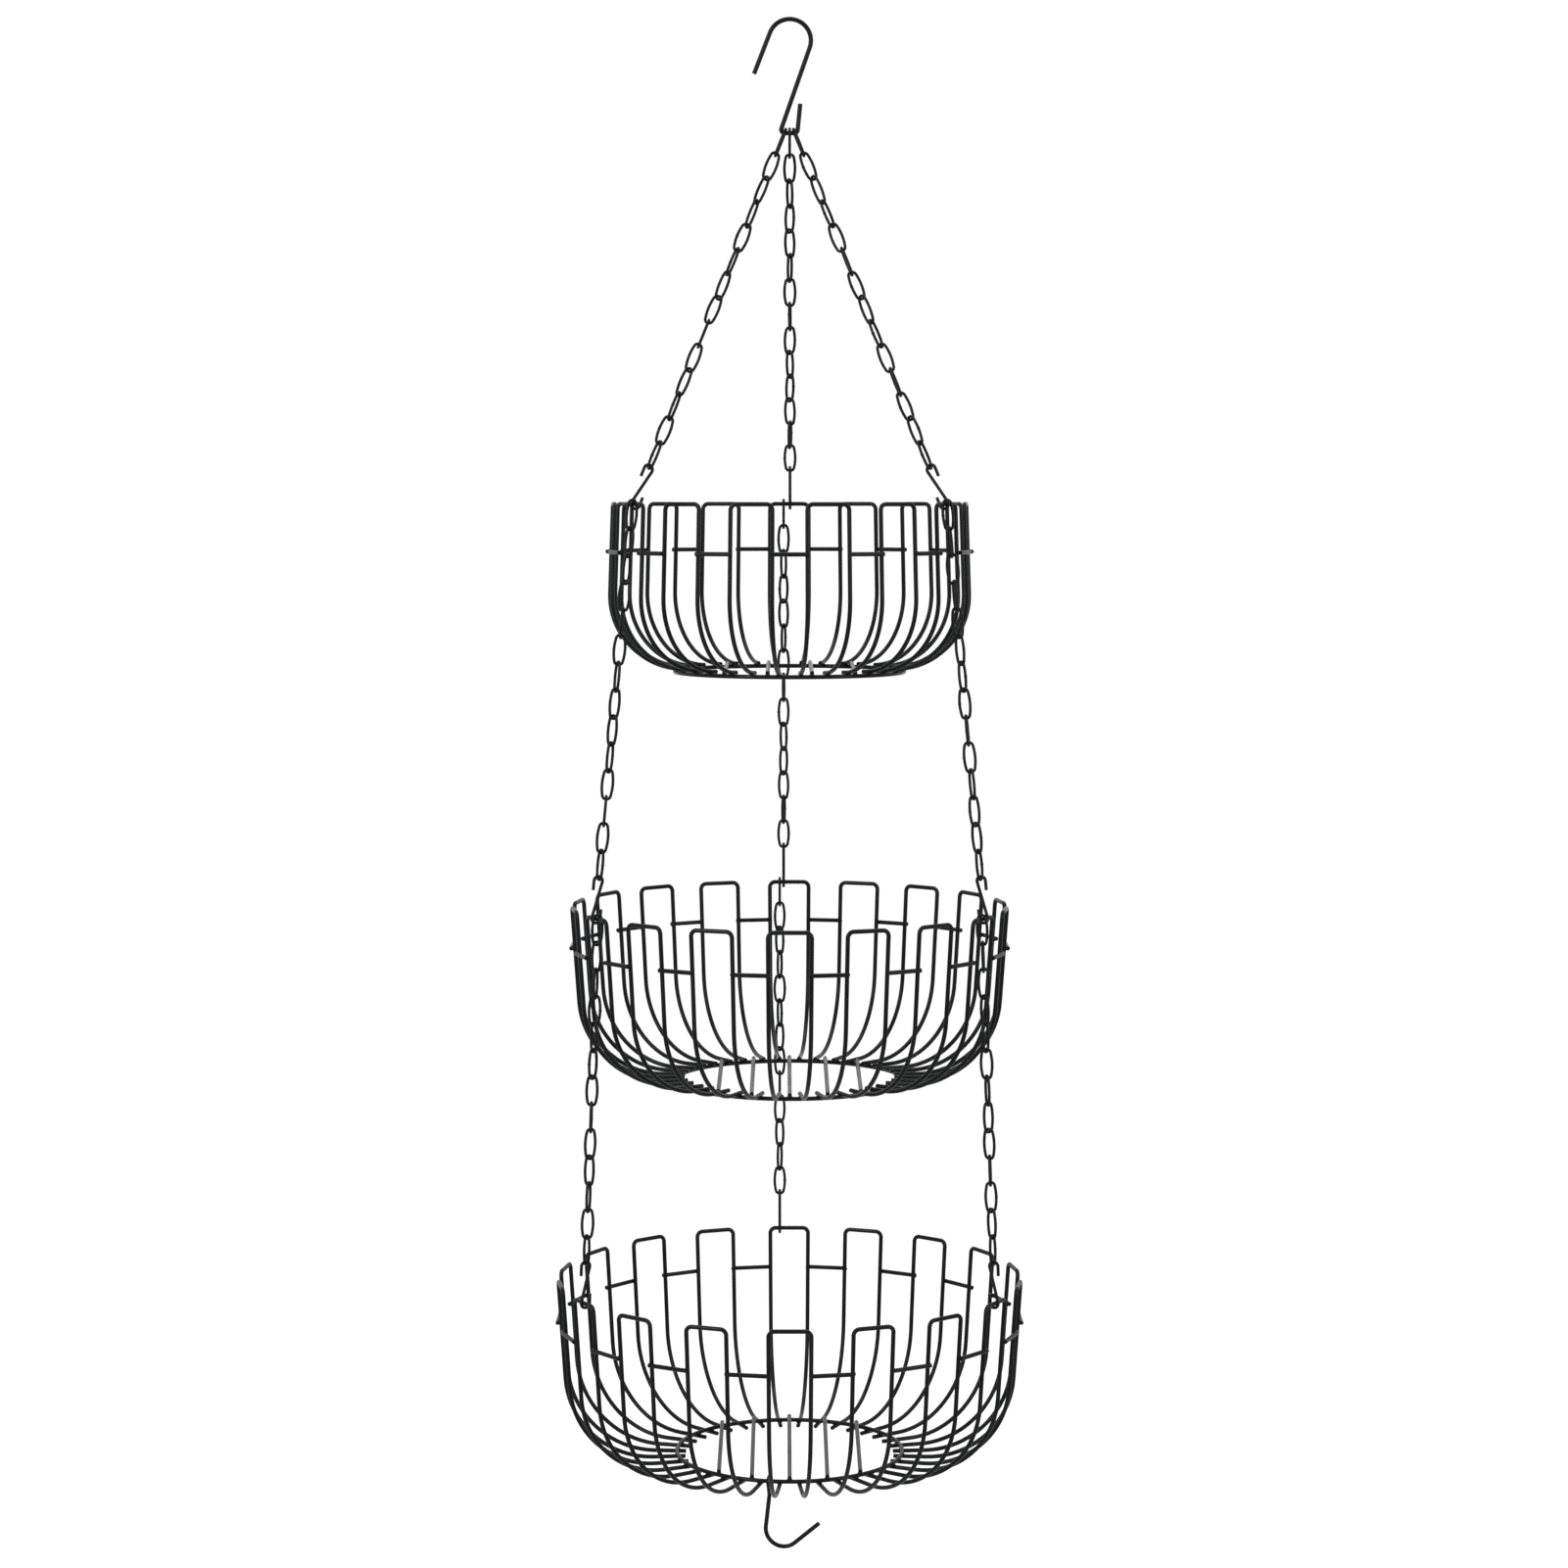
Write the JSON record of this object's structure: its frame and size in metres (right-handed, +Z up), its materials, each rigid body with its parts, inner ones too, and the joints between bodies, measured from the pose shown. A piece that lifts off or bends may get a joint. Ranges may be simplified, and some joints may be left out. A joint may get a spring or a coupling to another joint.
{
  "type": "hanging fruit basket",
  "caption": "Tiered hanging fruit basket of black steel wire: open round baskets of growing size, hung one below the other on link chains, with a hook at the top and a small hook below.",
  "frame": {"origin": "hanging point: the inside top of the top hook's crook, where it bears on what carries it; it lies on the baskets' common vertical axis", "axes": "+Z up along the baskets' common axis; +Y away from the viewer, towards the back chain of each tier; +X to the viewer's right. The top hook lies in the XZ plane."},
  "size_m": [0.33, 0.3319, 1.0517],
  "materials": {
    "coated_wire": "black powder coat, semi-gloss",
    "chain_wire": "black paint, satin, worn slightly brighter where links rub"
  },
  "bodies": {
    "hook": {"top_hook": "coated_wire"},
    "upper_tier": {"upper_chain_back": "chain_wire", "upper_chain_left": "chain_wire", "upper_chain_right": "chain_wire", "upper_s_hook_back": "chain_wire", "upper_s_hook_left": "chain_wire", "upper_s_hook_right": "chain_wire", "small_side_wires": "coated_wire", "small_crossbars": "coated_wire", "small_base_ring": "coated_wire", "small_floor_wires": "coated_wire"},
    "middle_chain_back": {"middle_chain_back": "chain_wire", "middle_s_hook_back": "chain_wire"},
    "middle_chain_left": {"middle_chain_left": "chain_wire", "middle_s_hook_left": "chain_wire"},
    "middle_chain_right": {"middle_chain_right": "chain_wire", "middle_s_hook_right": "chain_wire"},
    "lower_chain_back": {"lower_chain_back": "chain_wire", "lower_s_hook_back": "chain_wire"},
    "lower_chain_left": {"lower_chain_left": "chain_wire", "lower_s_hook_left": "chain_wire"},
    "lower_chain_right": {"lower_chain_right": "chain_wire", "lower_s_hook_right": "chain_wire"},
    "middle_basket": {"middle_side_wires": "coated_wire", "middle_crossbars": "coated_wire", "middle_base_ring": "coated_wire", "middle_floor_wires": "coated_wire"},
    "large_basket": {"large_side_wires": "coated_wire", "large_crossbars": "coated_wire", "large_base_ring": "coated_wire", "large_floor_wires": "coated_wire"},
    "bottom_hook": {"bottom_hook": "coated_wire"}
  },
  "joints": [
    {"name": "upper_swing", "type": "hinge", "parent": "hook", "child": "upper_tier", "pos_m": [0, 0, -0.0759], "axis": [1, 0, 0], "range_deg": [-25, 25]},
    {"name": "middle_swing", "type": "hinge", "parent": "upper_tier", "child": "middle_chain_back", "pos_m": [0, 0.12219, -0.33083], "axis": [1, 0, 0], "range_deg": [-7, 6]},
    {"name": "middle_basket_tilt", "type": "hinge", "parent": "middle_chain_back", "child": "middle_basket", "pos_m": [0, 0.15181, -0.61208], "axis": [1, 0, 0], "range_deg": [-6, 6]},
    {"name": "middle_swing_left", "type": "hinge", "parent": "upper_tier", "child": "middle_chain_left", "pos_m": [-0.10666, -0.05962, -0.33083], "axis": [1, 0, 0], "range_deg": [-7, 6]},
    {"name": "middle_swing_right", "type": "hinge", "parent": "upper_tier", "child": "middle_chain_right", "pos_m": [0.10666, -0.05962, -0.33083], "axis": [1, 0, 0], "range_deg": [-7, 6]},
    {"name": "lower_swing", "type": "hinge", "parent": "middle_basket", "child": "lower_chain_back", "pos_m": [0, 0.15181, -0.61208], "axis": [1, 0, 0], "range_deg": [-8, 8]},
    {"name": "large_basket_tilt", "type": "hinge", "parent": "lower_chain_back", "child": "large_basket", "pos_m": [0, 0.16288, -0.87629], "axis": [1, 0, 0], "range_deg": [-8, 8]},
    {"name": "lower_swing_left", "type": "hinge", "parent": "middle_basket", "child": "lower_chain_left", "pos_m": [-0.13062, -0.07738, -0.61208], "axis": [1, 0, 0], "range_deg": [-8, 8]},
    {"name": "lower_swing_right", "type": "hinge", "parent": "middle_basket", "child": "lower_chain_right", "pos_m": [0.13062, -0.07738, -0.61208], "axis": [1, 0, 0], "range_deg": [-8, 8]},
    {"name": "bottom_hook_swing", "type": "hinge", "parent": "large_basket", "child": "bottom_hook", "pos_m": [-0.01389, -0.07878, -1.00164], "axis": [0.9848, -0.1736, 0], "range_deg": [-60, 60]}
  ],
  "couplings": [
    {"joint": "middle_basket_tilt", "follows": "middle_swing", "ratio": -0.80358},
    {"joint": "middle_swing_left", "follows": "middle_swing", "ratio": 1},
    {"joint": "middle_swing_right", "follows": "middle_swing", "ratio": 1},
    {"joint": "large_basket_tilt", "follows": "lower_swing", "ratio": -0.93246},
    {"joint": "lower_swing_left", "follows": "lower_swing", "ratio": 1},
    {"joint": "lower_swing_right", "follows": "lower_swing", "ratio": 1}
  ]
}
